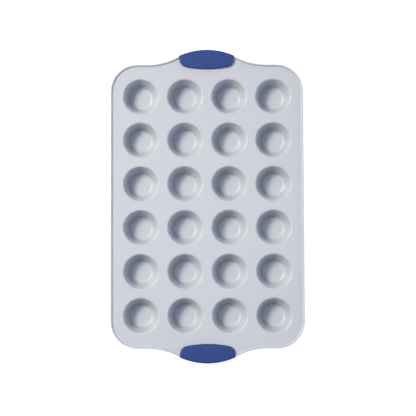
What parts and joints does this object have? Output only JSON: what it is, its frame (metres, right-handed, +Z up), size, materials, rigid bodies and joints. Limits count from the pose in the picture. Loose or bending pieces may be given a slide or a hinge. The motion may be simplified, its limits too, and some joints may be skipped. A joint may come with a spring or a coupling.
{
  "type": "mini muffin pan",
  "caption": "Mini muffin pan pressed from one coated steel sheet, with round tapered cups, a rolled rim and pull-off silicone grips on its end wings.",
  "frame": {"origin": "middle of the pan seen from above, on the plane that its cup floors stand on", "axes": "+Z up out of the cups, +Y along the pan towards its far grip, +X across the pan to the right"},
  "size_m": [0.2664, 0.4324, 0.0255],
  "materials": {
    "pan_coating": "satin",
    "blue_silicone": "matte"
  },
  "bodies": {
    "pan": {"deck": "pan_coating", "rolled_rim": "pan_coating", "cup_row1_col1": "pan_coating", "cup_row1_col2": "pan_coating", "cup_row1_col3": "pan_coating", "cup_row1_col4": "pan_coating", "cup_row2_col1": "pan_coating", "cup_row2_col2": "pan_coating", "cup_row2_col3": "pan_coating", "cup_row2_col4": "pan_coating", "cup_row3_col1": "pan_coating", "cup_row3_col2": "pan_coating", "cup_row3_col3": "pan_coating", "cup_row3_col4": "pan_coating", "cup_row4_col1": "pan_coating", "cup_row4_col2": "pan_coating", "cup_row4_col3": "pan_coating", "cup_row4_col4": "pan_coating", "cup_row5_col1": "pan_coating", "cup_row5_col2": "pan_coating", "cup_row5_col3": "pan_coating", "cup_row5_col4": "pan_coating", "cup_row6_col1": "pan_coating", "cup_row6_col2": "pan_coating", "cup_row6_col3": "pan_coating", "cup_row6_col4": "pan_coating"},
    "grip_far": {"grip_far": "blue_silicone"},
    "grip_near": {"grip_near": "blue_silicone"}
  },
  "joints": [
    {"name": "grip_far_pull", "type": "slide", "parent": "pan", "child": "grip_far", "axis": [0, 1, 0], "range_m": [0, 0.03]},
    {"name": "grip_near_pull", "type": "slide", "parent": "pan", "child": "grip_near", "axis": [0, -1, 0], "range_m": [0, 0.03]}
  ]
}
